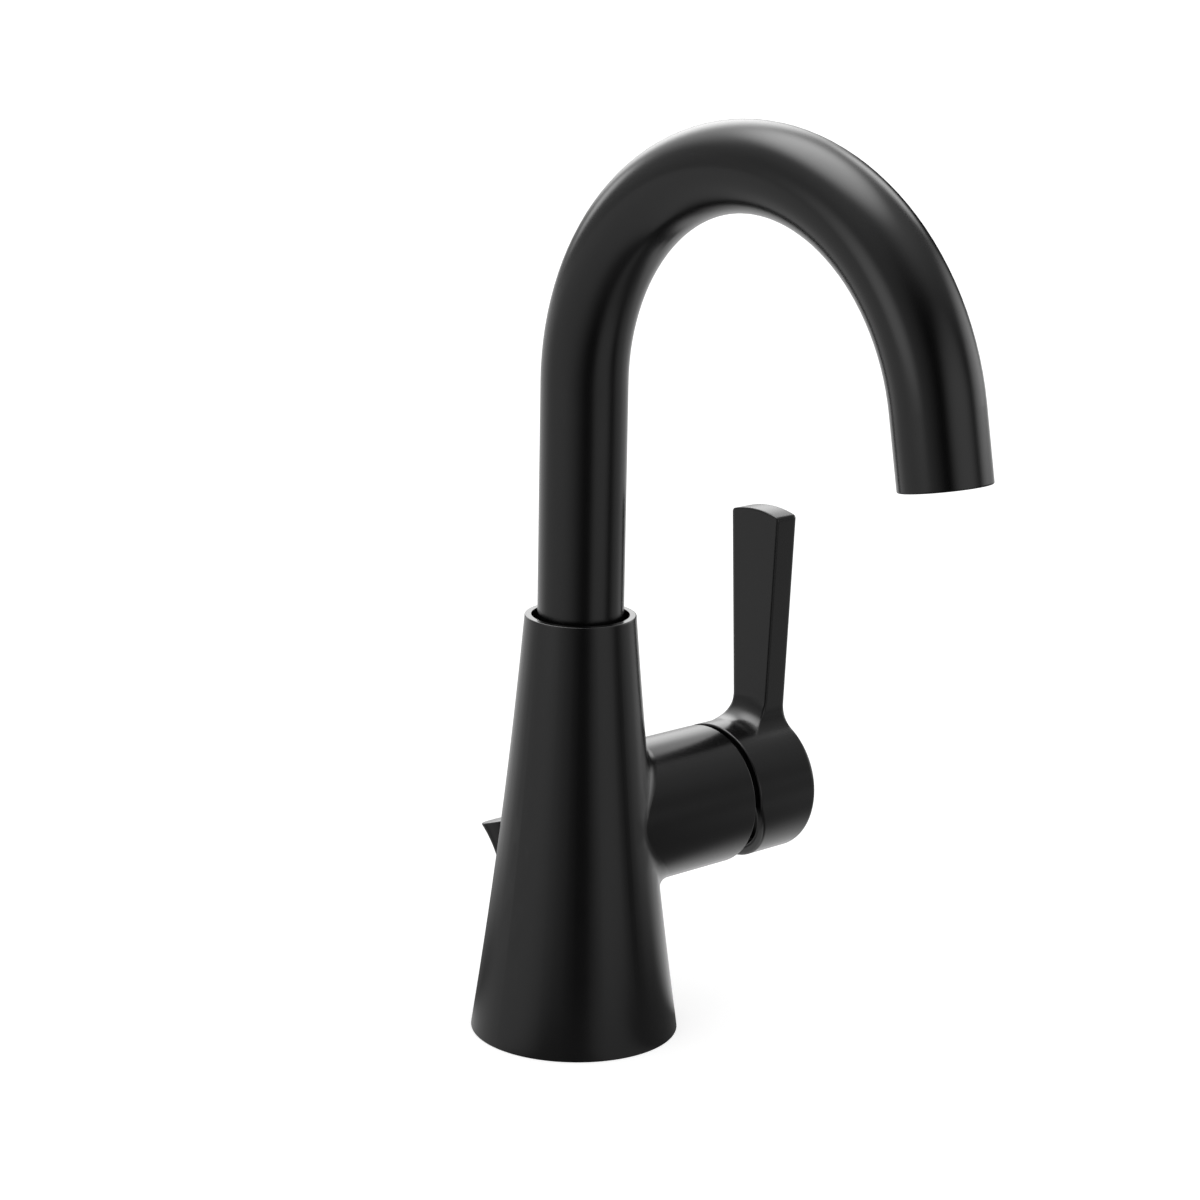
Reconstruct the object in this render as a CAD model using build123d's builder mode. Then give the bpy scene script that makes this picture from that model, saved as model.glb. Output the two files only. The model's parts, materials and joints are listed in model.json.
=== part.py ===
from build123d import *
from math import asin, atan2, cos, degrees, hypot, radians, sin, sqrt, tan
import os

os.makedirs("parts", exist_ok=True)

# A single-hole bathroom sink faucet with a gooseneck spout, a side lever and a lift rod.
# Millimetres, +Z up. The origin is on the deck, at the centre of the body's foot.
# The spout reaches towards -Y, the handle's barrel points to +X, the lift rod is at the back, +Y.

# Clearances and small edges
running_gap = 0.05
thread_gap = 0.05
play = 0.3
end_chamfer = 0.5

# Body: a flared bell with a barrel on its side
body_height = 116.8
foot_r = 28.4
side_hollow = 0.95
rim_wall = 1.8
rim_gap = 1.6
rim_recess = 24.8
rim_round = 0.35
foot_round = 0.3
barrel_end = 49.2
barrel_wall = 3.0
barrel_fillet = 4.5
barrel_round = 0.3
foot_wall = 3.2
cavity_roof = 30.0
gasket_height = 3.0
gasket_width = 6.0
gasket_seat = 4.2

# Spout: one bent tube that swivels in the body
tube_r = 11.6
tube_wall = 1.5
riser_above_rim = 63.1
bend_r = 62.3
bend_angle = 169.36
outlet_straight = 18.8
outlet_round = 0.4
swivel_limit = 60.0

# Swivel joint between the spout and the body
flange_step = 1.6
socket_depth = 18.0
socket_web = 3.0
glide_thickness = 1.2
flange_thickness = 3.0
nipple_neck = 3.0
nipple_bore_r = 6.0
seal_height = 3.2
seal_pitch = 4.6
seal_groove_depth = 2.0
seal_groove_width = 2.5
keeper_height = 13.6
keeper_groove_depth = 2.2
keeper_screw_r = 2.0
keeper_screw_length = 7.0
keeper_key = 2.0
keeper_key_depth = 3.5
guide_bush_rise = 1.5
guide_bush_height = 6.0

# Outlet fittings inside the spout's end
aerator_recess = 2.0
adapter_wall = 1.8
aerator_length = 7.5
aerator_rim = 1.3
aerator_mouth = 2.4
key_slots = 6
key_slot_width = 1.6
key_slot_depth = 1.2
jet_count = 5
jet_r = 0.55
jet_pitch = 1.9
screen_thickness = 0.6
screen_pitch = 1.6
screen_wire = 0.5
washer_thickness = 1.6
washer_width = 2.0

# Waterways cast into the body
port_x = 8.5
port_y = 1.0
port_r = 4.5
port_thread = 11.0
port_boss_wall = 2.5
channel_r = 2.5
channel_wall = 2.0
mixed_r = 3.2

# Cartridge, along +X from its seat in the body
seat_x = 12.0
cartridge_r = 14.2
cartridge_length = 26.0
thread_step = 2.4
flange_gap = 0.4
housing_flange = 4.65
housing_wall = 1.6
housing_roof = 2.0
housing_neck_wall = 1.5
housing_neck_length = 3.5
seal_thickness = 1.9
seal_stand = 0.3
seal_wall = 1.2
base_thickness = 5.0
inlet_side = 6.8
inlet_up = 5.2
outlet_down = 6.5
disc_thickness = 3.1
disc_film = 0.05
fixed_disc_gap = 0.25
moving_disc_gap = 0.75
moving_disc_drop = 1.7
mixing_depth = 1.6
mixing_land = 1.0
driver_width = 14.0
driver_length = 5.0
driver_floor = 0.95
driver_corner = 1.2
cheek_gap = 0.4
rotor_neck_r = 9.2
rotor_neck_length = 4.8
nut_notches = 4
nut_notch = 2.6
cover_stand = 2.2
cover_length = 3.65
cover_round = 2.0

# Lever mechanism
pivot_inset = 3.35
pin_r = 1.5
pin_length = 19.0
spindle_side = 7.0
spindle_tail = 5.0
spindle_neck_r = 1.5
ball_r = 2.4
ball_gap = 0.1
pocket_gap = 0.2
slot_gap = 0.6
lift_limit = 20.0

# Handle: a round cap with an upright lever, cast in one
handle_gap = 2.0
handle_length = 21.8
swing_margin = 1.0
cap_wall = 2.6
cap_floor = 7.0
cap_round = 0.9
boss_r = 8.0
boss_length = 10.0
spindle_grip = 9.0
lever_thickness = 7.75
lever_height = 79.8
lever_crown = 1.3
lever_root_height = 26.2
lever_root_width = 12.8
lever_top_width = 17.7
lever_root_fillet = 7.0
lever_corner_round = 1.2
set_screw_inset = 10.5
set_screw_r = 2.5
set_screw_key = 2.5
plug_step = 0.1
plug_chamfer = 0.2

# Lift rod for the drain, leaning back, with its knob just clear of the bell
rod_lean = 17.5
rod_r = 2.5
rod_below_deck = 22.0
rod_tip_step = 0.3
rod_tip_length = 10.5
rod_bush_wall = 0.8
rod_bush_low = 9.0
rod_bush_high = 19.0
rod_boss_wall = 1.3
knob_z = 51.8
knob_gap = 0.5
knob_r = 6.5
knob_waist_r = 4.75
knob_foot_r = 3.9
knob_length = 11.0
knob_dome = 0.5
knob_socket = 7.0

# Fixing under the deck
deck_thickness = 20.0
stud_r = 4.0
stud_boss_wall = 2.5
stud_boss_gap = 0.65
stud_grip = 15.0
stud_tail = 12.5
clamp_inset = 3.4
clamp_hose_gap = 1.2
clamp_web = 2.7
clamp_notch_round = 4.0
pad_thickness = 3.0
plate_thickness = 2.5
stud_hole_gap = 0.3
fixing_nut_flats = 13.0
fixing_nut_height = 7.0


def finish(piece, name):
    """Labels a finished piece and writes its STEP file."""
    piece.part.label = name
    export_step(piece.part, f"parts/{name}.step")


def bell_r(z):
    """Outer radius of the bell at height z: its side is the arc through foot, waist and rim."""
    lean = atan2(foot_r - rim_r, body_height)
    chord = hypot(foot_r - rim_r, body_height)
    sag = side_hollow * cos(lean)
    side_r = (chord**2 / 4 + sag**2) / (2 * sag)
    centre_r = (foot_r + rim_r) / 2 + (side_r - sag) * cos(lean)
    centre_z = body_height / 2 + (side_r - sag) * sin(lean)
    return centre_r - sqrt(side_r**2 - (z - centre_z) ** 2)


def ring(name, plane, inner, outer, height):
    """A plain washer or bush standing on a plane."""
    with BuildPart() as piece:
        with BuildSketch(plane):
            Circle(outer)
            Circle(inner, mode=Mode.SUBTRACT)
        extrude(amount=height)
    finish(piece, name)


def turned(x):
    """The plane across the barrel's axis at x, with local x along +Y and local y along +Z."""
    return Plane(origin=(x, 0, barrel_z), x_dir=(0, 1, 0), z_dir=(1, 0, 0))


# Radii that follow from the sizes above
tube_bore_r = tube_r - tube_wall
rim_bore_r = tube_r + rim_gap
rim_r = rim_bore_r + rim_wall
waist_r = (foot_r + rim_r) / 2 - side_hollow
socket_r = tube_r - flange_step
nipple_r = socket_r - running_gap
thread_r = cartridge_r + thread_step
barrel_r = thread_r + barrel_wall
cavity_r = foot_r - foot_wall - gasket_seat
gasket_r = foot_r - foot_wall - running_gap
housing_r = cartridge_r - play / 2
chamber_r = housing_r - housing_wall
housing_neck_r = rotor_neck_r + play
nut_r = thread_r - thread_gap
nut_bore_r = housing_neck_r + housing_neck_wall + play
cap_bore_r = barrel_r - cap_wall
plug_hole_r = set_screw_r + plug_step
rod_bush_r = rod_r + rod_bush_wall
stud_boss_r = stud_r + stud_boss_wall
clamp_r = foot_r - clamp_inset

# Heights, from the rim down to the barrel's axis, and from there up the spout
ledge_z = body_height - rim_recess
socket_floor = ledge_z - socket_depth
barrel_z = socket_floor - socket_web - cartridge_r
keeper_z = socket_floor + keeper_height
flange_z = ledge_z + glide_thickness + play
tube_foot = flange_z + flange_thickness
riser_top = body_height + riser_above_rim

# Places along the barrel
base_x = seat_x + seal_stand
fixed_disc_x = base_x + base_thickness
moving_disc_x = fixed_disc_x + disc_thickness + disc_film
driver_x = moving_disc_x + disc_thickness
ball_x = driver_x + driver_floor + ball_r + ball_gap
rotor_x = driver_x + driver_length + play
shoulder_x = seat_x + cartridge_length
neck_x = shoulder_x + housing_flange
roof_x = neck_x - housing_roof
rotor_end = roof_x - play
pivot_x = rotor_end - pivot_inset
nut_end = barrel_end + cover_stand - cover_length
cap_x = barrel_end + handle_gap
handle_end = cap_x + handle_length
boss_x = handle_end - cap_floor - boss_length
spindle_end = boss_x + spindle_grip
set_screw_x = handle_end - set_screw_inset
lever_x = handle_end - lever_thickness
inlets = [(-inlet_side, inlet_up), (inlet_side, inlet_up)]

# The lift rod's line: its knob's foot stands just clear of the bell
rod_axis = Vector(0, sin(radians(rod_lean)), cos(radians(rod_lean)))
knob_corner_z = knob_z - knob_length * rod_axis.Z + knob_foot_r * rod_axis.Y
knob_y = bell_r(knob_corner_z) + knob_gap + knob_length * rod_axis.Y + knob_foot_r * rod_axis.Z
knob_top = Vector(0, knob_y, knob_z)

# The fixing: its stud stands inside the gasket, and the deck sets the heights
stud_y = stud_boss_r + stud_boss_gap - (gasket_r - gasket_width)
clamp_notch_y = stud_y + stud_r + stud_hole_gap + clamp_web
clamp_notch_width = 2 * (port_x + port_r + clamp_hose_gap)
stud_top = gasket_height + stud_grip
pad_top = -deck_thickness
plate_top = pad_top - pad_thickness
nut_top = plate_top - plate_thickness
stud_end = nut_top - stud_tail
rod_end_z = pad_top - rod_below_deck


def below(z):
    """The plane at height z across the handle's set screw, facing down."""
    return Plane(origin=(set_screw_x, 0, z), x_dir=(1, 0, 0), z_dir=(0, 0, -1))


def rod_point(z):
    """The point of the lift rod's axis at height z."""
    return knob_top + rod_axis * ((z - knob_z) / rod_axis.Z)


def rod_plane(z):
    """The plane across the lift rod at height z on its axis."""
    return Plane(origin=rod_point(z), x_dir=(1, 0, 0), z_dir=rod_axis)


# The cast body: bell, barrel, waterways and seats
with BuildPart() as body_casting:
    with BuildSketch(Plane(origin=(0, 0, 0), x_dir=(-1, 0, 0), z_dir=(0, 1, 0))):
        with BuildLine():
            Line((0, 0), (foot_r, 0))
            ThreePointArc((foot_r, 0), (waist_r, body_height / 2), (rim_r, body_height))
            Line((rim_r, body_height), (0, body_height))
            Line((0, body_height), (0, 0))
        make_face()
    revolve(axis=Axis.Z)
    with BuildSketch(turned(0)):
        Circle(barrel_r)
    extrude(amount=barrel_end)
    joint_edges = edges().filter_by(GeomType.BSPLINE)
    fillet(joint_edges, radius=barrel_fillet)
    barrel_rim = faces().sort_by(Axis.X)[-1].edges()
    fillet(barrel_rim, radius=barrel_round)
    fillet(faces().sort_by(Axis.Z)[0].edges(), radius=foot_round)
    fillet(faces().sort_by(Axis.Z)[-1].edges(), radius=rim_round)
    # recess round the spout, and the socket under it
    with BuildSketch(Plane.XY.offset(ledge_z)):
        Circle(rim_bore_r)
    extrude(amount=body_height - ledge_z, mode=Mode.SUBTRACT)
    with BuildSketch(Plane.XY.offset(socket_floor)):
        Circle(socket_r)
    extrude(amount=socket_depth, mode=Mode.SUBTRACT)
    # cartridge seat in the barrel
    with BuildSketch(turned(seat_x)):
        Circle(cartridge_r)
    extrude(amount=barrel_end - seat_x, mode=Mode.SUBTRACT)
    with BuildSketch(turned(shoulder_x)):
        Circle(thread_r)
    extrude(amount=barrel_end - shoulder_x, mode=Mode.SUBTRACT)
    # hollow foot with the bosses of the hose ports, the stud and the lift rod
    with BuildSketch(Plane.XY):
        Circle(foot_r - foot_wall)
    extrude(amount=gasket_height, mode=Mode.SUBTRACT)
    with BuildSketch(Plane.XY.offset(gasket_height)):
        Circle(cavity_r)
    extrude(amount=cavity_roof - gasket_height, mode=Mode.SUBTRACT)
    with BuildSketch(Plane.XY.offset(gasket_height)):
        with Locations((-port_x, port_y), (port_x, port_y)):
            Circle(port_r + port_boss_wall)
        with Locations((0, stud_y)):
            Circle(stud_boss_r)
    extrude(amount=cavity_roof - gasket_height)
    with BuildSketch(rod_plane(rod_bush_low)):
        Circle(rod_bush_r + rod_boss_wall)
    extrude(amount=(rod_bush_high - rod_bush_low) / rod_axis.Z)
    with BuildSketch(rod_plane(gasket_height)):
        Circle(rod_bush_r)
    extrude(amount=(knob_z - gasket_height) / rod_axis.Z, mode=Mode.SUBTRACT)
    with BuildSketch(Plane.XY.offset(gasket_height)):
        with Locations((-port_x, port_y), (port_x, port_y)):
            Circle(port_r)
    extrude(amount=port_thread, mode=Mode.SUBTRACT)
    with BuildSketch(Plane.XY.offset(gasket_height)):
        with Locations((0, stud_y)):
            Circle(stud_r + thread_gap)
    extrude(amount=stud_grip, mode=Mode.SUBTRACT)
    # screw hole that keeps the spout in, at the back
    with BuildSketch(Plane(origin=(0, 0, keeper_z), x_dir=(1, 0, 0), z_dir=(0, 1, 0))):
        Circle(keeper_screw_r + thread_gap)
    extrude(amount=foot_r, mode=Mode.SUBTRACT)
    # water channels: each port rises, steps sideways, rises again and turns to the seat
    routes = [(mixed_r, [(seat_x, 0, -outlet_down), (0, 0, -outlet_down), (0, 0, socket_floor - barrel_z)])]
    for side, (y, z) in zip((-1, 1), inlets):
        low = gasket_height + port_thread - barrel_z
        step = cavity_roof + channel_wall + channel_r - barrel_z
        routes.append((channel_r, [
            (side * port_x, port_y, low),
            (side * port_x, port_y, step),
            (side * port_x, y, step),
            (side * port_x, y, z),
            (seat_x, y, z),
        ]))
    for radius, points in routes:
        route = [Vector(x, y, barrel_z + z) for x, y, z in points]
        for start, end in zip(route, route[1:]):
            with BuildSketch(Plane(origin=start, z_dir=end - start)):
                Circle(radius)
            extrude(amount=(end - start).length, mode=Mode.SUBTRACT)
        for corner in route[1:-1]:
            with Locations(corner):
                Sphere(radius, mode=Mode.SUBTRACT)
finish(body_casting, "body_casting")

# Spout joint, fixed side: glide ring under the spout, guide bush round it, keeper screw at the back
glide_inner = socket_r + play
ring("spout_glide_ring", Plane.XY.offset(ledge_z), glide_inner, rim_bore_r, glide_thickness)
bush_z = tube_foot + guide_bush_rise
ring("spout_guide_bush", Plane.XY.offset(bush_z), tube_r + running_gap, rim_bore_r, guide_bush_height)

keeper_groove_r = nipple_r - keeper_groove_depth
with BuildPart() as spout_keeper_screw:
    with BuildSketch(Plane(origin=(0, keeper_groove_r + play, keeper_z), x_dir=(1, 0, 0), z_dir=(0, 1, 0))):
        Circle(keeper_screw_r)
    extrude(amount=keeper_screw_length)
    with BuildSketch(spout_keeper_screw.faces().sort_by(Axis.Y)[-1]):
        RegularPolygon(keeper_key / 2, 6, major_radius=False)
    extrude(amount=-keeper_key_depth, mode=Mode.SUBTRACT)
    chamfer(spout_keeper_screw.edges().group_by(Axis.Y)[0], length=end_chamfer)
finish(spout_keeper_screw, "spout_keeper_screw")

rod_bush_length = (rod_bush_high - rod_bush_low) / rod_axis.Z
ring("lift_rod_bush", rod_plane(rod_bush_low), rod_r + running_gap, rod_bush_r, rod_bush_length)

# Foot gasket, let into the underside of the body
ring("base_gasket", Plane.XY, gasket_r - gasket_width, gasket_r, gasket_height)

# Spout tube: riser, bend and a short straight end
with BuildLine(Plane.YZ) as spout_path:
    riser = Line((0, tube_foot), (0, riser_top))
    bend = JernArc(start=riser @ 1, tangent=(0, 1), radius=bend_r, arc_size=bend_angle)
    Line(bend @ 1, bend @ 1 + (bend % 1) * outlet_straight)
spout_wire = spout_path.wires()[0]
outlet = Plane(origin=spout_wire @ 1, x_dir=(1, 0, 0), z_dir=spout_wire % 1)

with BuildPart() as spout_tube:
    with BuildSketch(Plane.XY.offset(tube_foot)):
        Circle(tube_r)
        Circle(tube_bore_r, mode=Mode.SUBTRACT)
    sweep(path=spout_wire)
    end_rim = spout_tube.edges().filter_by(GeomType.CIRCLE).sort_by_distance(outlet.origin)[:2]
    fillet(end_rim.sort_by(SortBy.RADIUS)[-1], radius=outlet_round)
finish(spout_tube, "spout_tube")

# Nipple at the tube's foot: flange, seal grooves and the keeper's groove, which stops the swivel
seal_zs = [socket_floor + seal_height, socket_floor + seal_height + seal_pitch]
seal_groove_r = nipple_r - seal_groove_depth
keeper_half = keeper_screw_r + play
stop_angle = swivel_limit + degrees(asin(keeper_half / (nipple_r - keeper_groove_depth / 2)))
with BuildPart() as spout_nipple:
    with BuildSketch(Plane.XY.offset(socket_floor + play)):
        Circle(nipple_r)
    extrude(amount=flange_z - socket_floor - play)
    with BuildSketch(Plane.XY.offset(flange_z)):
        Circle(tube_r)
    extrude(amount=flange_thickness)
    with BuildSketch(Plane.XY.offset(tube_foot)):
        Circle(tube_bore_r)
    extrude(amount=nipple_neck)
    for z in seal_zs:
        with BuildSketch(Plane.XY.offset(z - seal_groove_width / 2)):
            Circle(nipple_r)
            Circle(seal_groove_r, mode=Mode.SUBTRACT)
        extrude(amount=seal_groove_width, mode=Mode.SUBTRACT)
    for arc in (stop_angle, -stop_angle):
        with BuildSketch(Plane.YZ):
            with Locations((nipple_r, keeper_z)):
                Rectangle(2 * keeper_groove_depth, 2 * keeper_half)
        revolve(axis=Axis.Z, revolution_arc=arc, mode=Mode.SUBTRACT)
    with BuildSketch(Plane.XY.offset(socket_floor)):
        Circle(nipple_bore_r)
    extrude(amount=tube_foot + nipple_neck - socket_floor, mode=Mode.SUBTRACT)
finish(spout_nipple, "spout_nipple")

seal_section = seal_groove_depth / 2
with BuildPart() as spout_seals:
    for z in seal_zs:
        with Locations((0, 0, z)):
            Torus(seal_groove_r + seal_section, seal_section)
finish(spout_seals, "spout_seals")

# Outlet: threaded adapter in the tube's end, with the aerator, its screen and its washer inside
adapter_bore_r = tube_bore_r - adapter_wall
inward = Plane(outlet.origin, x_dir=(1, 0, 0), z_dir=-outlet.z_dir)
aerator_plane = inward.offset(aerator_recess)
washer_plane = aerator_plane.offset(aerator_length)
shoulder_plane = washer_plane.offset(washer_thickness)
with BuildPart() as outlet_adapter:
    with BuildSketch(aerator_plane):
        Circle(tube_bore_r)
        Circle(adapter_bore_r, mode=Mode.SUBTRACT)
    extrude(amount=aerator_length + washer_thickness)
    with BuildSketch(shoulder_plane):
        Circle(tube_bore_r)
        Circle(adapter_bore_r - washer_width, mode=Mode.SUBTRACT)
    extrude(amount=adapter_wall)
finish(outlet_adapter, "outlet_adapter")

aerator_r = adapter_bore_r - thread_gap
with BuildPart() as aerator_body:
    with BuildSketch(aerator_plane):
        Circle(aerator_r)
    extrude(amount=aerator_length)
    with BuildSketch(aerator_plane):
        Circle(aerator_r - aerator_rim)
    extrude(amount=aerator_mouth, mode=Mode.SUBTRACT)
    with BuildSketch(aerator_plane):
        with PolarLocations(aerator_r, key_slots):
            Rectangle(2 * (aerator_rim + play), key_slot_width)
    extrude(amount=key_slot_depth, mode=Mode.SUBTRACT)
    with BuildSketch(aerator_plane):
        with HexLocations(jet_pitch / sqrt(3), jet_count, jet_count):
            Circle(jet_r)
    extrude(amount=aerator_length, mode=Mode.SUBTRACT)
finish(aerator_body, "aerator_body")

screen_r = aerator_r - aerator_rim - running_gap
screen_holes = 2 * int(screen_r / screen_pitch)
with BuildPart() as aerator_screen:
    with BuildSketch(aerator_plane.offset(aerator_mouth - screen_thickness)):
        Circle(screen_r)
        with BuildSketch(mode=Mode.SUBTRACT):
            with GridLocations(screen_pitch, screen_pitch, screen_holes, screen_holes):
                Rectangle(screen_pitch - screen_wire, screen_pitch - screen_wire)
            Circle(screen_r - screen_wire, mode=Mode.INTERSECT)
    extrude(amount=screen_thickness)
finish(aerator_screen, "aerator_screen")

ring("aerator_washer", washer_plane, adapter_bore_r - washer_width, aerator_r, washer_thickness)

# Cartridge: base with its seals, discs, housing, rotor and pin, held by a nut under a cover
with BuildPart() as cartridge_base:
    with BuildSketch(turned(base_x)):
        Circle(cartridge_r - play)
        with Locations(*inlets):
            Circle(channel_r, mode=Mode.SUBTRACT)
        with Locations((0, -outlet_down)):
            Circle(mixed_r, mode=Mode.SUBTRACT)
    extrude(amount=base_thickness)
    with BuildSketch(turned(base_x)):
        with Locations(*inlets):
            Circle(channel_r + seal_wall + running_gap)
        with Locations((0, -outlet_down)):
            Circle(mixed_r + seal_wall + running_gap)
    extrude(amount=seal_thickness - seal_stand, mode=Mode.SUBTRACT)
finish(cartridge_base, "cartridge_base")

with BuildPart() as cartridge_seals:
    with BuildSketch(turned(seat_x)):
        with Locations(*inlets):
            Circle(channel_r + seal_wall)
            Circle(channel_r, mode=Mode.SUBTRACT)
        with Locations((0, -outlet_down)):
            Circle(mixed_r + seal_wall)
            Circle(mixed_r, mode=Mode.SUBTRACT)
    extrude(amount=seal_thickness)
finish(cartridge_seals, "cartridge_seals")

with BuildPart() as fixed_disc:
    with BuildSketch(turned(fixed_disc_x)):
        Circle(chamber_r - fixed_disc_gap)
        with Locations(*inlets):
            Circle(channel_r, mode=Mode.SUBTRACT)
        with Locations((0, -outlet_down)):
            Circle(mixed_r, mode=Mode.SUBTRACT)
    extrude(amount=disc_thickness)
finish(fixed_disc, "fixed_disc")

# The moving disc's pocket covers the outlet, and reaches the inlets when the disc is lifted
pocket_top = inlet_up - channel_r - mixing_land
pocket_foot = -outlet_down - mixed_r
with BuildPart() as moving_disc:
    with BuildSketch(turned(moving_disc_x)):
        with Locations((0, -moving_disc_drop)):
            Circle(chamber_r - moving_disc_gap - moving_disc_drop)
    extrude(amount=disc_thickness)
    with BuildSketch(turned(moving_disc_x)):
        with Locations((0, (pocket_top + pocket_foot) / 2)):
            Ellipse(inlet_side, (pocket_top - pocket_foot) / 2)
    extrude(amount=mixing_depth, mode=Mode.SUBTRACT)
finish(moving_disc, "moving_disc")

rotor_r = chamber_r - play
driver_half = sqrt(rotor_r**2 - (driver_width / 2) ** 2) - moving_disc_drop
with BuildPart() as disc_driver:
    with BuildSketch(turned(driver_x)):
        with Locations((0, -moving_disc_drop)):
            Rectangle(driver_width, 2 * driver_half)
    extrude(amount=driver_length)
    fillet(disc_driver.edges().filter_by(Axis.X), radius=driver_corner)
    with BuildSketch(turned(driver_x + driver_floor)):
        Circle(ball_r + pocket_gap)
    extrude(amount=driver_length, mode=Mode.SUBTRACT)
finish(disc_driver, "disc_driver")

# The rotor's slot is as high as the tilted spindle needs
lift = radians(lift_limit)
slot_reach = rotor_end + rotor_neck_length - pivot_x
slot_above = spindle_tail * sin(lift) + spindle_side / 2 * cos(lift) + slot_gap
slot_below = slot_reach * tan(lift) + spindle_side / 2 / cos(lift) + slot_gap
with BuildPart() as cartridge_rotor:
    with BuildSketch(turned(rotor_x)):
        Circle(rotor_r)
    extrude(amount=rotor_end - rotor_x)
    with BuildSketch(turned(rotor_end)):
        Circle(rotor_neck_r)
    extrude(amount=rotor_neck_length)
    # cheeks that turn the driver and let it slide between them
    with BuildSketch(turned(rotor_x)):
        Circle(rotor_r)
        Rectangle(driver_width + 2 * play, 2 * rotor_r, mode=Mode.SUBTRACT)
    extrude(amount=driver_x + cheek_gap - rotor_x)
    # slot for the spindle, and the hole of its pin
    with BuildSketch(turned(rotor_x)):
        with Locations((0, (slot_above - slot_below) / 2)):
            Rectangle(spindle_side + play, slot_above + slot_below)
    extrude(amount=rotor_end + rotor_neck_length - rotor_x, mode=Mode.SUBTRACT)
    with BuildSketch(Plane(origin=(pivot_x, 0, barrel_z), x_dir=(1, 0, 0), z_dir=(0, 1, 0))):
        Circle(pin_r)
    extrude(amount=pin_length / 2, both=True, mode=Mode.SUBTRACT)
finish(cartridge_rotor, "cartridge_rotor")

with BuildPart() as pivot_pin:
    with BuildSketch(Plane(origin=(pivot_x, 0, barrel_z), x_dir=(1, 0, 0), z_dir=(0, 1, 0))):
        Circle(pin_r)
    extrude(amount=pin_length / 2, both=True)
finish(pivot_pin, "pivot_pin")

with BuildPart() as cartridge_housing:
    with BuildSketch(turned(fixed_disc_x)):
        Circle(housing_r)
    extrude(amount=neck_x - fixed_disc_x)
    with BuildSketch(turned(shoulder_x)):
        Circle(thread_r - flange_gap)
    extrude(amount=neck_x - shoulder_x)
    with BuildSketch(turned(neck_x)):
        Circle(housing_neck_r + housing_neck_wall)
    extrude(amount=housing_neck_length)
    with BuildSketch(turned(fixed_disc_x)):
        Circle(chamber_r)
    extrude(amount=roof_x - fixed_disc_x, mode=Mode.SUBTRACT)
    with BuildSketch(turned(roof_x)):
        Circle(housing_neck_r)
    extrude(amount=housing_roof + housing_neck_length, mode=Mode.SUBTRACT)
finish(cartridge_housing, "cartridge_housing")

with BuildPart() as cartridge_nut:
    with BuildSketch(turned(neck_x)):
        Circle(nut_r)
        Circle(nut_bore_r, mode=Mode.SUBTRACT)
    extrude(amount=nut_end - neck_x)
    with BuildSketch(turned(nut_end)):
        with PolarLocations(nut_r, nut_notches):
            Rectangle(nut_notch, nut_notch)
    extrude(amount=-nut_notch, mode=Mode.SUBTRACT)
finish(cartridge_nut, "cartridge_nut")

# The cover closes the gap between the barrel and the cap, and stays clear of the tilting boss
with BuildPart() as cartridge_cover:
    with BuildSketch(turned(nut_end)):
        Circle(nut_r)
    extrude(amount=cover_length)
    fillet(faces().sort_by(Axis.X)[-1].edges(), radius=cover_round)
    with BuildSketch(turned(nut_end)):
        Circle(nut_bore_r)
    extrude(amount=cover_length, mode=Mode.SUBTRACT)
finish(cartridge_cover, "cartridge_cover")

# Spindle: square bar into the handle, round neck and ball into the driver, pivoting on the pin
with BuildPart() as spindle:
    with BuildSketch(turned(pivot_x - spindle_tail)):
        RectangleRounded(spindle_side, spindle_side, play)
    extrude(amount=spindle_end - pivot_x + spindle_tail)
    with BuildSketch(turned(ball_x)):
        Circle(spindle_neck_r)
    extrude(amount=pivot_x - spindle_tail - ball_x)
    with Locations((ball_x, 0, barrel_z)):
        Sphere(ball_r)
    with BuildSketch(Plane(origin=(pivot_x, 0, barrel_z), x_dir=(1, 0, 0), z_dir=(0, 1, 0))):
        Circle(pin_r + running_gap)
    extrude(amount=pin_length / 2, both=True, mode=Mode.SUBTRACT)
finish(spindle, "spindle")

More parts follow.
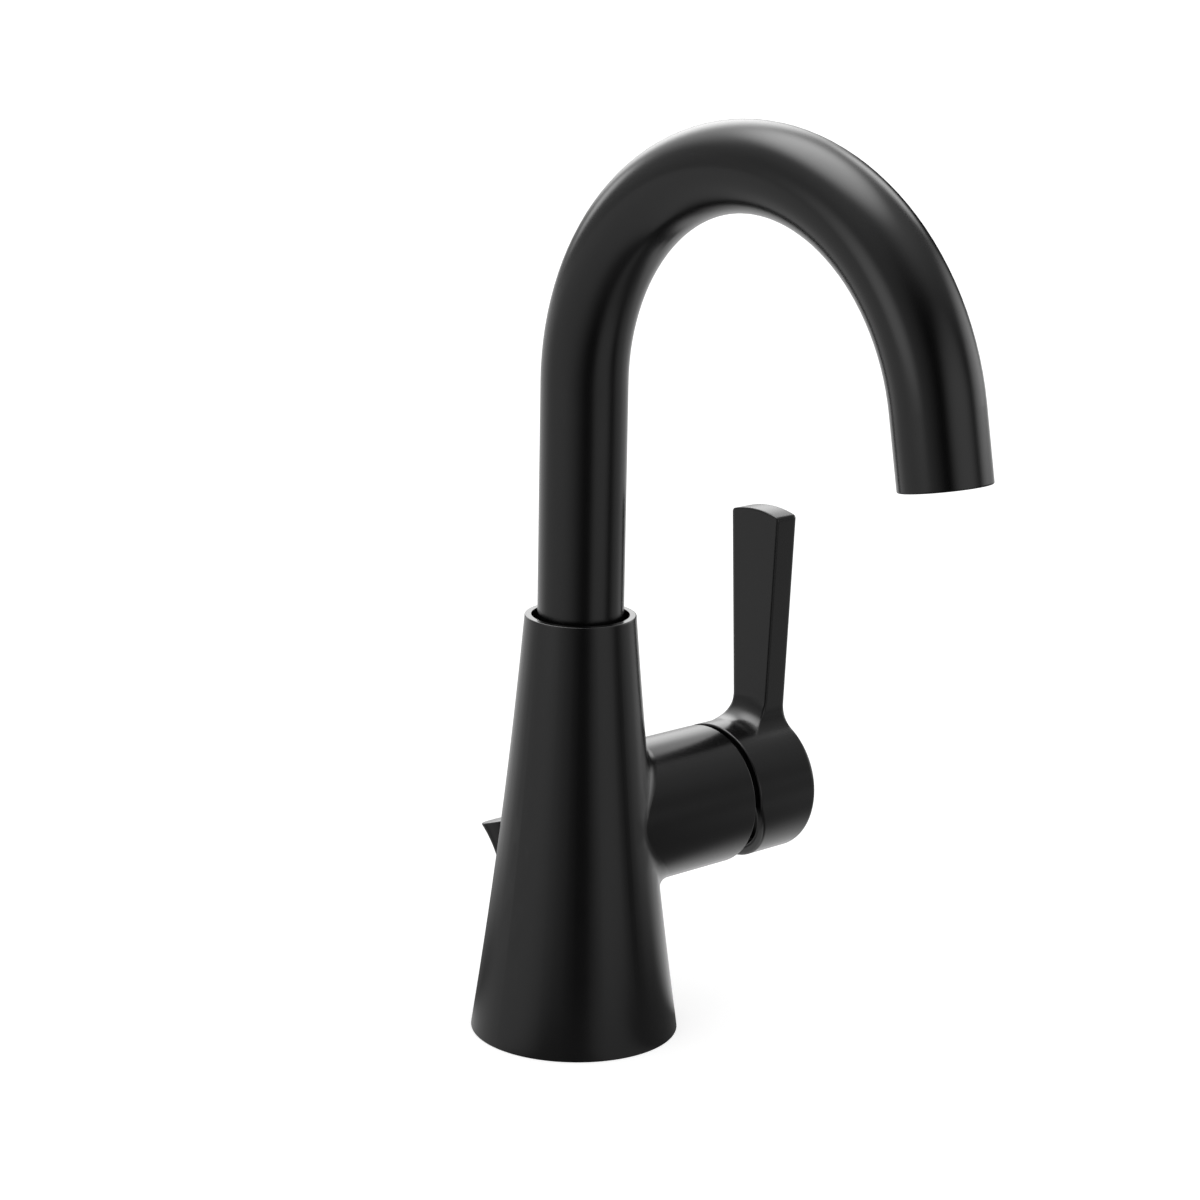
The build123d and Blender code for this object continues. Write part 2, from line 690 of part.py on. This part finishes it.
# Handle: the cap, the upright lever that sweeps out of it, and the boss for the spindle
lever_top = barrel_z + lever_height
shoulder_z = lever_top - lever_crown
side_slope = (lever_top_width - lever_root_width) / (lever_height - lever_root_height) / 2
top_half = lever_top_width / 2
axis_half = lever_root_width / 2 - side_slope * lever_root_height
spindle_hole = spindle_side + 2 * running_gap
reach = barrel_r + barrel_fillet
cut_depth = reach * tan(radians(lift_limit + swing_margin))
with BuildPart() as handle:
    with BuildSketch(turned(cap_x)):
        Circle(barrel_r)
    extrude(amount=handle_end - cap_x)
    with BuildSketch(Plane.YZ.offset(lever_x)):
        with BuildLine():
            Line((-axis_half, barrel_z), (-top_half, shoulder_z))
            ThreePointArc((-top_half, shoulder_z), (0, lever_top), (top_half, shoulder_z))
            Line((top_half, shoulder_z), (axis_half, barrel_z))
            Line((axis_half, barrel_z), (-axis_half, barrel_z))
        make_face()
        fillet(vertices().group_by(Axis.Y)[-1], radius=lever_corner_round)
    extrude(amount=lever_thickness)
    # the lever's root blends into the cap, and the outer edges are eased
    inner_edges = handle.edges().filter_by_position(Axis.X, lever_x - play, handle_end - play)
    root_z = barrel_z + sqrt(barrel_r**2 - (lever_root_width / 2) ** 2)
    root_edges = inner_edges.filter_by_position(Axis.Z, root_z - play, barrel_z + barrel_r + play)
    fillet(root_edges, radius=lever_root_fillet)
    fillet(handle.faces().sort_by(Axis.X)[-1].edges(), radius=cap_round)
    # hollow cap, with the boss for the spindle
    with BuildSketch(turned(cap_x)):
        Circle(cap_bore_r)
    extrude(amount=handle_end - cap_floor - cap_x, mode=Mode.SUBTRACT)
    with BuildSketch(turned(boss_x)):
        Circle(boss_r)
    extrude(amount=boss_length)
    with BuildSketch(turned(boss_x)):
        RectangleRounded(spindle_hole, spindle_hole, play)
    extrude(amount=spindle_grip + play, mode=Mode.SUBTRACT)
    # the lower half of the cap's edge is cut back so that it can swing in under the barrel
    with BuildSketch(Plane.XZ):
        with BuildLine():
            Line((cap_x, barrel_z), (cap_x + cut_depth, barrel_z - reach))
            Line((cap_x + cut_depth, barrel_z - reach), (barrel_end, barrel_z - reach))
            Line((barrel_end, barrel_z - reach), (barrel_end, barrel_z))
            Line((barrel_end, barrel_z), (cap_x, barrel_z))
        make_face()
    extrude(amount=reach, both=True, mode=Mode.SUBTRACT)
    # tapped hole of the set screw, and the wider hole of its plug in the cap's wall
    with BuildSketch(below(barrel_z)):
        Circle(set_screw_r)
    extrude(amount=boss_r + play, mode=Mode.SUBTRACT)
    with BuildSketch(below(barrel_z - boss_r - play)):
        Circle(plug_hole_r)
    extrude(amount=barrel_r - boss_r, mode=Mode.SUBTRACT)
finish(handle, "handle")

with BuildPart() as handle_set_screw:
    with BuildSketch(below(barrel_z - spindle_side / 2)):
        Circle(set_screw_r - thread_gap)
    extrude(amount=boss_r - spindle_side / 2)
    with BuildSketch(handle_set_screw.faces().sort_by(Axis.Z)[0]):
        RegularPolygon(set_screw_key / 2, 6, major_radius=False)
    extrude(amount=-set_screw_key, mode=Mode.SUBTRACT)
finish(handle_set_screw, "handle_set_screw")

with BuildPart() as set_screw_plug:
    with BuildSketch(below(barrel_z - cap_bore_r)):
        Circle(plug_hole_r - running_gap)
    extrude(amount=cap_wall - play)
    chamfer(set_screw_plug.edges().sort_by(Axis.Z)[0], length=plug_chamfer)
finish(set_screw_plug, "set_screw_plug")

# Lift rod and its knob, an inverted cone with hollow sides and a slightly domed top
knob_section = Plane(origin=knob_top, x_dir=(1, 0, 0), z_dir=(0, -rod_axis.Z, rod_axis.Y))
with BuildPart() as lift_knob:
    with BuildSketch(knob_section):
        with BuildLine():
            TangentArc((0, knob_dome), (knob_r, 0), tangent=(1, 0))
            ThreePointArc((knob_r, 0), (knob_waist_r, -knob_length / 2), (knob_foot_r, -knob_length))
            Line((knob_foot_r, -knob_length), (0, -knob_length))
            Line((0, -knob_length), (0, knob_dome))
        make_face()
    revolve(axis=Axis(knob_top, rod_axis))
    fillet(lift_knob.edges().sort_by(SortBy.LENGTH)[-1], radius=play)
    with BuildSketch(Plane(origin=knob_top - rod_axis * knob_length, x_dir=(1, 0, 0), z_dir=rod_axis)):
        Circle(rod_r + thread_gap)
    extrude(amount=knob_socket, mode=Mode.SUBTRACT)
finish(lift_knob, "lift_knob")

rod_top = knob_top - rod_axis * (knob_length - knob_socket)
rod_length = (rod_top.Z - rod_end_z) / rod_axis.Z
with BuildPart() as lift_rod:
    with BuildSketch(rod_plane(rod_end_z)):
        Circle(rod_r - rod_tip_step)
    extrude(amount=rod_length)
    with BuildSketch(rod_plane(rod_end_z).offset(rod_tip_length)):
        Circle(rod_r)
    extrude(amount=rod_length - rod_tip_length)
    rod_ends = lift_rod.edges().filter_by(GeomType.CIRCLE).group_by(Axis.Z)
    chamfer(rod_ends[0] + rod_ends[-1], length=end_chamfer)
finish(lift_rod, "lift_rod")

# Fixing: a stud from the body through the deck, with a rubber pad, a steel plate and a nut
with BuildPart() as fixing_stud:
    with BuildSketch(Plane.XY.offset(stud_end)):
        with Locations((0, stud_y)):
            Circle(stud_r)
    extrude(amount=stud_top - stud_end)
    chamfer(fixing_stud.edges().filter_by(GeomType.CIRCLE), length=end_chamfer)
finish(fixing_stud, "fixing_stud")

clamps = [("deck_pad", pad_top, pad_thickness), ("clamp_plate", plate_top, plate_thickness)]
for name, top, thickness in clamps:
    with BuildPart() as clamp:
        with BuildSketch(Plane.XY.offset(top - thickness)):
            Circle(clamp_r)
            with Locations((0, stud_y)):
                Circle(stud_r + stud_hole_gap, mode=Mode.SUBTRACT)
            with Locations((0, clamp_notch_y)):
                notch_place = (Align.CENTER, Align.MIN)
                Rectangle(clamp_notch_width, 2 * clamp_r, align=notch_place, mode=Mode.SUBTRACT)
            corner_ys = (clamp_notch_y - play, clamp_notch_y + play)
            fillet(vertices().filter_by_position(Axis.Y, *corner_ys), radius=clamp_notch_round)
        extrude(amount=thickness)
    finish(clamp, name)

with BuildPart() as fixing_nut:
    with BuildSketch(Plane.XY.offset(nut_top - fixing_nut_height)):
        with Locations((0, stud_y)):
            RegularPolygon(fixing_nut_flats / 2, 6, major_radius=False, rotation=30)
            Circle(stud_r + thread_gap, mode=Mode.SUBTRACT)
    extrude(amount=fixing_nut_height)
finish(fixing_nut, "fixing_nut")
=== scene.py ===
import json
from math import cos, pi, radians, sin, sqrt

import bpy
from mathutils import Matrix, Vector

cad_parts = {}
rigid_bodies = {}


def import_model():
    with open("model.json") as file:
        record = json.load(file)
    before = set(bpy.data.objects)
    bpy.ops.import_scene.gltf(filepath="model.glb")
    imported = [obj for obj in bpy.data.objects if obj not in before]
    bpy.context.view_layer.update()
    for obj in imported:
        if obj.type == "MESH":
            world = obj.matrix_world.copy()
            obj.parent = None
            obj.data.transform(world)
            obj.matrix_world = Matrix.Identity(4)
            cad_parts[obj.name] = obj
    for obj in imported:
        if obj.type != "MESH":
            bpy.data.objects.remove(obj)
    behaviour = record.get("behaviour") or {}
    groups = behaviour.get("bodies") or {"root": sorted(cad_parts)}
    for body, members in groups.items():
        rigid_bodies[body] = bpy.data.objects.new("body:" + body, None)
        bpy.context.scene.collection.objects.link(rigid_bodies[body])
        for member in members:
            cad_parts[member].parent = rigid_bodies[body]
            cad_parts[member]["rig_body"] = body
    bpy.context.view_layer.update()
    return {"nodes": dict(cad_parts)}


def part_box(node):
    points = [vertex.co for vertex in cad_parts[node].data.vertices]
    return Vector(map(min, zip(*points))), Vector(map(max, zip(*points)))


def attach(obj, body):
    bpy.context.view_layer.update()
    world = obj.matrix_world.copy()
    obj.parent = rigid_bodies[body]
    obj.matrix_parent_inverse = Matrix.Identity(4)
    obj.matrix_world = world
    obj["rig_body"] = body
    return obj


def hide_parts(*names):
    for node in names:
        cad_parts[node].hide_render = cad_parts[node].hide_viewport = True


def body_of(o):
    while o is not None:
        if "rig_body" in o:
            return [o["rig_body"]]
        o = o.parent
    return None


# Bathroom sink faucet in satin black: finishes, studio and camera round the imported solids. Metres, Z up.
for leftover in ("Cube", "Light", "Camera"):
    if leftover in bpy.data.objects:
        bpy.data.objects.remove(bpy.data.objects[leftover], do_unlink=True)
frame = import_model()
bpy.ops.object.select_all(action="DESELECT")

MM = 0.001

# Node maths


class Value:
    """A socket that can be added, multiplied and so on, which adds Math nodes to its tree."""

    def __init__(self, sheet, socket):
        self.sheet = sheet
        self.socket = socket

    def maths(self, operation, *inputs):
        return self.sheet.add("Math", {"operation": operation}, *inputs)

    def __add__(self, other):
        return self.maths("ADD", self, other)

    def __radd__(self, other):
        return self.maths("ADD", other, self)

    def __rsub__(self, other):
        return self.maths("SUBTRACT", other, self)

    def __mul__(self, other):
        return self.maths("MULTIPLY", self, other)

    def __rmul__(self, other):
        return self.maths("MULTIPLY", other, self)


class Sheet:
    """A node tree that is written down as expressions."""

    def __init__(self, tree):
        self.tree = tree
        tree.nodes.clear()

    def add(self, kind, settings, *inputs, out=0, **named):
        """Adds a shader node, sets its settings and then its sockets, and returns its output socket.

        inputs fill the sockets in their order, None leaving one as it is, and named ones go by their names.
        out is the output's name or its number.
        """
        node = self.tree.nodes.new("ShaderNode" + kind)
        for key, setting in settings.items():
            setattr(node, key, setting)
        sockets = list(zip(node.inputs, inputs))
        sockets += [(node.inputs[name.replace("_", " ")], value) for name, value in named.items()]
        for socket, value in sockets:
            if isinstance(value, Value):
                self.tree.links.new(value.socket, socket)
            elif value is not None:
                socket.default_value = value
        return Value(self, node.outputs[out]) if node.outputs else None

    def blend(self, share, colour, other):
        """A colour between two, in a Mix node whose first six sockets are the share and those for numbers."""
        return self.add("Mix", {"data_type": "RGBA"}, share, None, None, None, None, None,
                        (*colour, 1.0), (*other, 1.0), out=2)


def grey(level):
    return (level, level, level, 1.0)


# Finishes

EDGE_SAMPLES = 16
GLOSS_FROM_CLOUDS = 0.6
GLOSS_FROM_FINE = 0.4


def finish(name, colour, other, roughness, spread, grain, bump, depth, metallic=0.0, edge=0.0,
           stretch=(1.0, 1.0, 1.0)):
    """A finish whose colour, gloss and surface vary a little, as a real one's do.

    colour and other are the two ends of the colour, roughness and spread the middle of the gloss and how
    far it goes to each side, grain the size of the clouds in both, and bump and depth the size and height
    of the surface's fine unevenness. edge rounds the light on sharp edges, and stretch draws the
    unevenness out into streaks. Sizes are in metres.
    """
    material = bpy.data.materials.new(name)
    material.use_nodes = True
    sheet = Sheet(material.node_tree)
    place = sheet.add("TexCoord", {}, out="Object")
    place = sheet.add("Mapping", {"vector_type": "TEXTURE"}, Vector=place, Scale=stretch)
    clouds = sheet.add("TexNoise", {}, Vector=place, Scale=1 / grain, Detail=3.0, Roughness=0.55)
    fine = sheet.add("TexNoise", {}, Vector=place, Scale=1 / bump, Detail=2.0, Roughness=0.5)
    tint = sheet.blend(clouds, colour, other)
    gloss = roughness - spread + 2 * spread * (GLOSS_FROM_CLOUDS * clouds + GLOSS_FROM_FINE * fine)
    rounded = sheet.add("Bevel", {"samples": EDGE_SAMPLES}, Radius=edge) if edge else None
    normal = sheet.add("Bump", {}, Strength=1.0, Distance=depth, Height=fine, Normal=rounded)
    shader = sheet.add("BsdfPrincipled", {}, Base_Color=tint, Roughness=gloss, Metallic=metallic,
                       Normal=normal)
    sheet.add("OutputMaterial", {}, shader)
    return material


BLACK, OTHER_BLACK = (0.0018, 0.0018, 0.0019), (0.0031, 0.003, 0.0032)
COATING = dict(roughness=0.23, spread=0.02, grain=9 * MM, bump=0.45 * MM, depth=0.0018 * MM)
# One finish for each material slot of the solids
finishes = {
    "black_finish": finish("satin_black_coating", BLACK, OTHER_BLACK, **COATING, edge=0.2 * MM),
    "brass": finish(
        "turned_brass", (0.52, 0.34, 0.11), (0.64, 0.45, 0.17), metallic=1.0, roughness=0.3, spread=0.08,
        grain=3 * MM, bump=0.3 * MM, depth=0.006 * MM, edge=0.1 * MM),
    "steel": finish(
        "brushed_stainless_steel", (0.42, 0.42, 0.43), (0.56, 0.56, 0.56), metallic=1.0, roughness=0.32,
        spread=0.08, grain=2 * MM, bump=0.2 * MM, depth=0.004 * MM, edge=0.1 * MM, stretch=(25.0, 1.0, 1.0)),
    "rubber": finish(
        "moulded_rubber", (0.016, 0.016, 0.017), (0.026, 0.025, 0.025), roughness=0.72, spread=0.06,
        grain=3 * MM, bump=0.35 * MM, depth=0.02 * MM, edge=0.15 * MM),
    "black_plastic": finish(
        "black_moulded_plastic", (0.004, 0.004, 0.0042), (0.007, 0.007, 0.0072), roughness=0.5, spread=0.05,
        grain=4 * MM, bump=0.3 * MM, depth=0.01 * MM, edge=0.12 * MM),
    "white_plastic": finish(
        "white_moulded_plastic", (0.66, 0.65, 0.62), (0.74, 0.73, 0.7), roughness=0.42, spread=0.05,
        grain=5 * MM, bump=0.3 * MM, depth=0.008 * MM, edge=0.12 * MM),
    "ceramic": finish(
        "lapped_ceramic", (0.74, 0.73, 0.69), (0.81, 0.8, 0.77), roughness=0.14, spread=0.04,
        grain=2 * MM, bump=0.2 * MM, depth=0.002 * MM, edge=0.06 * MM),
}
# The handle's long edges are softer than the other ones
handle_coating = finish("satin_black_coating_on_the_handle", BLACK, OTHER_BLACK, **COATING, edge=1.1 * MM)

for node in frame["nodes"].values():
    for slot in node.material_slots:
        slot.material = finishes[slot.material.name.split(".")[0]]
frame["nodes"]["handle"].material_slots[0].material = handle_coating

# Fixing stud and nut

THREAD_PITCH = 1.25 * MM
THREAD_DEPTH = 0.6              # in pitches
CREST_REACH = 0.13              # in pitches, from the crest's middle to its edge
FLANK_REACH = 0.26              # in pitches, from the crest's middle to half-way down the flank
THREAD_STEPS = 36               # in one turn
PROFILE_CUTS = 7
TURNED_SIDES = 96
NUT_BORE_SIDES = 64
STUD_END = dict(chamfer=0.8 * MM, draw=0.9 * MM)
NUT_END = dict(chamfer=0.55 * MM, draw=0.95 * MM)
BLANK_OVER = 0.01 * MM          # keeps a blank's side off the shape that it is crossed with
NUT_PLAY = 0.05 * MM            # between the thread's crests and the nut
MERGE = 1e-7
SMOOTH_ANGLE = radians(35)


def only(piece):
    """Selects one piece alone and makes it the active one."""
    bpy.ops.object.select_all(action="DESELECT")
    piece.select_set(True)
    bpy.context.view_layer.objects.active = piece


def pick(piece, kind, wanted):
    """Goes into edit mode with only the wanted vertices or faces of the piece selected."""
    only(piece)
    bpy.ops.object.mode_set(mode="EDIT")
    bpy.ops.mesh.select_mode(type=kind)
    bpy.ops.mesh.select_all(action="DESELECT")
    bpy.ops.object.mode_set(mode="OBJECT")
    parts = {"VERT": piece.data.vertices, "FACE": piece.data.polygons}[kind]
    for part in parts:
        part.select = wanted(part)
    bpy.ops.object.mode_set(mode="EDIT")


def done():
    """Leaves edit mode."""
    bpy.ops.object.mode_set(mode="OBJECT")


def combine(piece, tool, operation):
    """Cuts the piece with the tool, or keeps what they share, and takes the tool away."""
    only(piece)
    step = piece.modifiers.new("combine", "BOOLEAN")
    step.operation = operation
    step.solver = "EXACT"
    step.object = tool
    bpy.ops.object.modifier_apply(modifier=step.name)
    bpy.data.objects.remove(tool, do_unlink=True)


def settle(piece, node, material):
    """Ends a piece that stands for a node: its place goes into its mesh, and its faces point outwards."""
    only(piece)
    bpy.ops.object.transform_apply(location=True, rotation=True, scale=True)
    bpy.ops.object.mode_set(mode="EDIT")
    bpy.ops.mesh.select_all(action="SELECT")
    bpy.ops.mesh.remove_doubles(threshold=MERGE)
    bpy.ops.mesh.normals_make_consistent(inside=False)
    done()
    bpy.ops.object.shade_smooth_by_angle(angle=SMOOTH_ANGLE)
    piece.data.materials.clear()
    piece.data.materials.append(finishes[material])
    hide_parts(node)
    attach(piece, body_of(frame["nodes"][node])[0])


def blank(radius, low, high, chamfer, draw):
    """A turned blank on the Z axis: both its ends are drawn in by draw over the height chamfer."""
    bpy.ops.mesh.primitive_cylinder_add(vertices=TURNED_SIDES, radius=radius, depth=high - low - 2 * chamfer,
                                        location=(0, 0, (low + high) / 2))
    turned = bpy.context.active_object
    bpy.ops.object.transform_apply(location=True)
    for side in (-1, 1):
        pick(turned, "FACE", lambda face: face.normal.z * side > 0.9)
        bpy.ops.mesh.extrude_region_move(TRANSFORM_OT_translate={"value": (0, 0, side * chamfer)})
        bpy.ops.transform.resize(value=(1 - draw / radius, 1 - draw / radius, 1))
        done()
    return turned


def thread(radius, low, high, pitch):
    """A helical thread on the Z axis, closed by flat ends."""
    depth = THREAD_DEPTH * pitch
    root = radius - depth
    middle = low - pitch / 2
    # The upright edge of a plane, one pitch long, becomes the profile of one turn, crest in the middle
    bpy.ops.mesh.primitive_plane_add(size=pitch, location=(root + pitch / 2, 0, middle),
                                     rotation=(pi / 2, 0, 0))
    piece = bpy.context.active_object
    bpy.ops.object.transform_apply(location=True, rotation=True)
    pick(piece, "VERT", lambda corner: corner.co.x > root + pitch / 2)
    bpy.ops.mesh.delete(type="VERT")
    bpy.ops.mesh.select_all(action="SELECT")
    bpy.ops.mesh.subdivide(number_cuts=PROFILE_CUTS)
    done()
    for reach in (CREST_REACH, FLANK_REACH):
        pick(piece, "VERT", lambda point: abs(point.co.z - middle) < reach * pitch)
        bpy.ops.transform.translate(value=(depth / 2, 0, 0))
        done()
    only(piece)
    screw = piece.modifiers.new("screw", "SCREW")
    screw.axis = "Z"
    screw.angle = 2 * pi
    screw.screw_offset = pitch
    screw.iterations = int((high - low) / pitch) + 3
    screw.steps = THREAD_STEPS
    screw.render_steps = THREAD_STEPS
    screw.use_merge_vertices = True
    screw.merge_threshold = MERGE
    bpy.ops.object.modifier_apply(modifier=screw.name)
    for height, clear in ((low, "clear_inner"), (high, "clear_outer")):
        pick(piece, "FACE", lambda face: True)
        bpy.ops.mesh.bisect(plane_co=(0, 0, height), plane_no=(0, 0, 1), use_fill=True, threshold=1e-8,
                            **{clear: True})
        done()
    return piece


low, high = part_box("fixing_stud")
stud_place = ((low[0] + high[0]) / 2, (low[1] + high[1]) / 2, 0)
stud_radius = (high[0] - low[0]) / 2
fixing_stud = thread(stud_radius, low[2], high[2], THREAD_PITCH)
combine(fixing_stud, blank(stud_radius + BLANK_OVER, low[2], high[2], **STUD_END), "INTERSECT")
fixing_stud.name = "threaded_stud"
fixing_stud.location = stud_place
settle(fixing_stud, "fixing_stud", "brass")

low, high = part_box("fixing_nut")
wide, deep, tall = (high[side] - low[side] for side in range(3))
nut_middle = (0, 0, (low[2] + high[2]) / 2)
corner_radius = min(wide, deep) / sqrt(3)
corner_heading = 0 if wide > deep else radians(30)
# A hexagon's first corner lies on the Y axis. The nut's lies at corner_heading from the X axis
bpy.ops.mesh.primitive_cylinder_add(vertices=6, radius=corner_radius, depth=2 * tall,
                                    location=nut_middle, rotation=(0, 0, pi / 2 - corner_heading))
fixing_nut = bpy.context.active_object
combine(fixing_nut, blank(corner_radius + BLANK_OVER, low[2], high[2], **NUT_END), "INTERSECT")
bpy.ops.mesh.primitive_cylinder_add(vertices=NUT_BORE_SIDES, radius=stud_radius + NUT_PLAY, depth=2 * tall,
                                    location=nut_middle)
combine(fixing_nut, bpy.context.active_object, "DIFFERENCE")
fixing_nut.name = "hexagon_nut"
fixing_nut.location = stud_place
settle(fixing_nut, "fixing_nut", "brass")

# Studio

# Where these numbers come from: another program worked them out, by a least-squares fit of renders to the
# photo's greys, and they were rounded. All of SOFT_BOXES is as that fit gave it, and so is the floor, but for
# the near patches, the near level and the far left patch's level, which were then changed.

# The soft boxes that the gloss shows: heading from +X towards +Y and height above the horizon, the width
# to one side, all in degrees, and the level. The camera stands at heading 227, so it looks towards 47.
SOFT_BOXES = {
    "overhead": (85, 75, 35, 4.55),
    "overhead_left": (140, 80, 60, 0.55),
    "overhead_right": (325, 60, 50, 0.45),
    "back_wall": (55, 20, 25, 2.15),
    "back_wall_top": (65, 45, 45, 1.35),
    "back_panel": (85, 20, 55, 0.4),
    "back_left_strip": (90, 10, 10, 2.4),
    "back_right_strip": (20, 30, 15, 2.7),
    "left_strip": (165, 0, 25, 1.25),
    "left_panel": (165, 5, 65, 0.45),
    "right_panel": (345, 0, 35, 1.65),
    "front_right_panel": (275, 5, 40, 0.95),
}
# Painted light that the floor shows only to the gloss, as a glow, far from the foot and close to it: heading,
# width and level, over a plain level. Between the two distances from the foot's middle, one passes into the
# other.
FLOOR_FAR = {
    "behind": (50, 80, 0.85),
    "left": (155, 80, 0.58),
    "right": (335, 30, 0.4),
    "front_right": (275, 30, 0.55),
}
FLOOR_FAR_LEVEL = 0.05
FLOOR_FAR_FROM = 0.3
# Close to the foot the painted glow is mostly dimmer, a painted shadow of the faucet, with a painted bright
# patch beside the barrel
FLOOR_NEAR = {
    "beside_the_barrel": (12, 40, 0.95),
    "left": (155, 50, 0.45),
    "front_right": (262, 25, 0.25),
}
FLOOR_NEAR_LEVEL = 0.15
FLOOR_NEAR_UP_TO = 0.06
FLOOR_SIZE = 8.0
FLOOR_PAINT = 0.8
# Lifts the floor to the backdrop's white and leaves the faucet's soft shadow
FLOOR_GLOW = 0.62
# The plain light from all round on what isn't gloss
SOFT_LIGHT = 0.7


def soft_box(sheet, heading, azimuth, height, width, level):
    """The light of one soft box, seen along heading: full at its middle and fading to its edge."""
    turn, rise = radians(azimuth), radians(height)
    middle = Vector((cos(turn) * cos(rise), sin(turn) * cos(rise), sin(rise)))
    along = sheet.add("VectorMath", {"operation": "DOT_PRODUCT"}, heading, middle, out="Value")
    return sheet.add("MapRange", {"interpolation_type": "SMOOTHSTEP"}, along,
                     cos(radians(width)), 1.0, 0.0, level)


def painted_floor_light(sheet, outward, plain, patches):
    """The painted light that one stretch of the floor shows to the gloss, as a glow: its plain level and its
    brighter patches.
    """
    return plain + sum(soft_box(sheet, outward, azimuth, 0, width, level)
                       for azimuth, width, level in patches.values())


def rays(sheet):
    """Whether a ray comes from the camera or through glass, and whether it is a reflection."""
    from_camera = sheet.add("LightPath", {}, out="Is Camera Ray")
    through_glass = sheet.add("LightPath", {}, out="Is Transmission Ray")
    seen = sheet.add("Math", {"operation": "MAXIMUM"}, from_camera, through_glass)
    return seen, sheet.add("LightPath", {}, out="Is Glossy Ray")


world = bpy.data.worlds.new("studio")
bpy.context.scene.world = world
world.use_nodes = True
sky = Sheet(world.node_tree)
seen, mirrored = rays(sky)
heading = sky.add("TexCoord", {}, out="Generated")
gloss_light = sum(soft_box(sky, heading, *place_and_level) for place_and_level in SOFT_BOXES.values())
strength = seen + mirrored * gloss_light + (1 - seen) * (1 - mirrored) * SOFT_LIGHT
sky.add("OutputWorld", {}, sky.add("Background", {}, Color=grey(1.0), Strength=strength))

bpy.ops.mesh.primitive_plane_add(size=FLOOR_SIZE)
floor = bpy.context.active_object
floor.name = "floor"
white = bpy.data.materials.new("floor_white")
white.use_nodes = True
sheet = Sheet(white.node_tree)
seen, mirrored = rays(sheet)
place = sheet.add("TexCoord", {}, out="Object")
outward = sheet.add("VectorMath", {"operation": "NORMALIZE"}, place, out="Vector")
distance = sheet.add("VectorMath", {"operation": "LENGTH"}, place, out="Value")
far = sheet.add("MapRange", {"interpolation_type": "SMOOTHSTEP"}, distance, FLOOR_NEAR_UP_TO, FLOOR_FAR_FROM)
gloss_light = far * painted_floor_light(sheet, outward, FLOOR_FAR_LEVEL, FLOOR_FAR)
gloss_light += (1 - far) * painted_floor_light(sheet, outward, FLOOR_NEAR_LEVEL, FLOOR_NEAR)
glow = sheet.add("Emission", {}, Color=grey(1.0), Strength=FLOOR_GLOW * seen)
painted = sheet.add("AddShader", {}, sheet.add("BsdfDiffuse", {}, Color=grey(FLOOR_PAINT)), glow)
# A glow that only reflections see: the floor's painted light and painted shade
painted_floor_glow = sheet.add("Emission", {}, Color=grey(1.0), Strength=gloss_light)
sheet.add("OutputMaterial", {}, sheet.add("MixShader", {}, mirrored, painted, painted_floor_glow))
floor.data.materials.append(white)

# Camera

# The place, the axes and the lens were worked out by another program, which fitted camera and part to the photo
CAMERA_PLACE = (-0.5811, -0.6362, 0.3377)
CAMERA_RIGHT = (0.7372, -0.6754, 0.0176)
CAMERA_UP = (0.1524, 0.1916, 0.9696)
CAMERA_BACK = (-0.6582, -0.7121, 0.2442)
# In millimetres, as Blender takes them
CAMERA_LENS = 99.8
CAMERA_SENSOR = 36.0

camera_data = bpy.data.cameras.new("camera")
camera_data.sensor_width = CAMERA_SENSOR
camera_data.lens = CAMERA_LENS
camera = bpy.data.objects.new("camera", camera_data)
axes = Matrix((CAMERA_RIGHT, CAMERA_UP, CAMERA_BACK)).transposed()
camera.matrix_world = Matrix.Translation(CAMERA_PLACE) @ axes.to_4x4()
bpy.context.collection.objects.link(camera)
bpy.context.scene.camera = camera
bpy.context.scene.view_settings.view_transform = "Standard"
